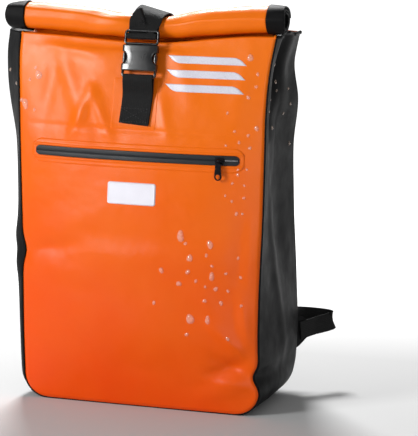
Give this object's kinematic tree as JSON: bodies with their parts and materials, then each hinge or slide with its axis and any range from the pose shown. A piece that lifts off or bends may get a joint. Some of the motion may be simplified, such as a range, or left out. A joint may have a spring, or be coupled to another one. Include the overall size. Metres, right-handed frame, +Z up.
{
  "type": "bicycle messenger backpack",
  "caption": "Roll-top waterproof tarpaulin courier backpack, standing closed, with a strap and side-release buckle over the roll, a front zip pocket and padded shoulder straps.",
  "frame": {"origin": "on the floor under the middle of the bag's outline, the base resting on Z = 0", "axes": "+Z up from the base to the roll, -Y towards the orange front, +Y towards the shoulder straps, +X to the right as seen from the front"},
  "size_m": [0.4182, 0.2664, 0.5286],
  "materials": {
    "tarpaulin_orange": "satin PVC-coated tarpaulin, smooth, with soft creases",
    "tarpaulin_black": "satin-matt PVC-coated tarpaulin",
    "webbing_black": "matt woven polyester webbing",
    "strap_padding": "matt woven cloth over foam",
    "buckle_plastic": "glossy acetal",
    "coated_zip": "satin film-coated zip tape",
    "zip_metal": "black enamelled die-cast metal",
    "label_white": "white rubbery patch, blank",
    "reflective_film": "pale grey reflective film"
  },
  "bodies": {
    "bag": {"front_panel": "tarpaulin_orange", "rolled_collar": "tarpaulin_orange", "gusset_band": "tarpaulin_black", "back_panel": "tarpaulin_black", "roll_end_left": "tarpaulin_black", "roll_end_right": "tarpaulin_black", "front_zip": "coated_zip", "zip_slider": "zip_metal", "label_patch": "label_white", "reflective_stripe_1": "reflective_film", "reflective_stripe_2": "reflective_film", "reflective_stripe_3": "reflective_film", "buckle_socket": "buckle_plastic", "buckle_plug": "buckle_plastic", "strap_lower": "webbing_black", "strap_upper": "webbing_black", "haul_loop": "webbing_black", "shoulder_strap_left": "strap_padding", "end_loop_left": "webbing_black", "ladder_lock_left": "buckle_plastic", "lower_web_left": "webbing_black", "anchor_wing_left": "tarpaulin_black", "shoulder_strap_right": "strap_padding", "end_loop_right": "webbing_black", "ladder_lock_right": "buckle_plastic", "lower_web_right": "webbing_black", "anchor_wing_right": "tarpaulin_black"},
    "puller": {"zip_puller": "zip_metal"}
  },
  "joints": [
    {"name": "puller_swing", "type": "hinge", "parent": "bag", "child": "puller", "pos_m": [0.10958, -0.12387, 0.3305], "axis": [1, 0, 0], "range_deg": [-150, 0]}
  ]
}
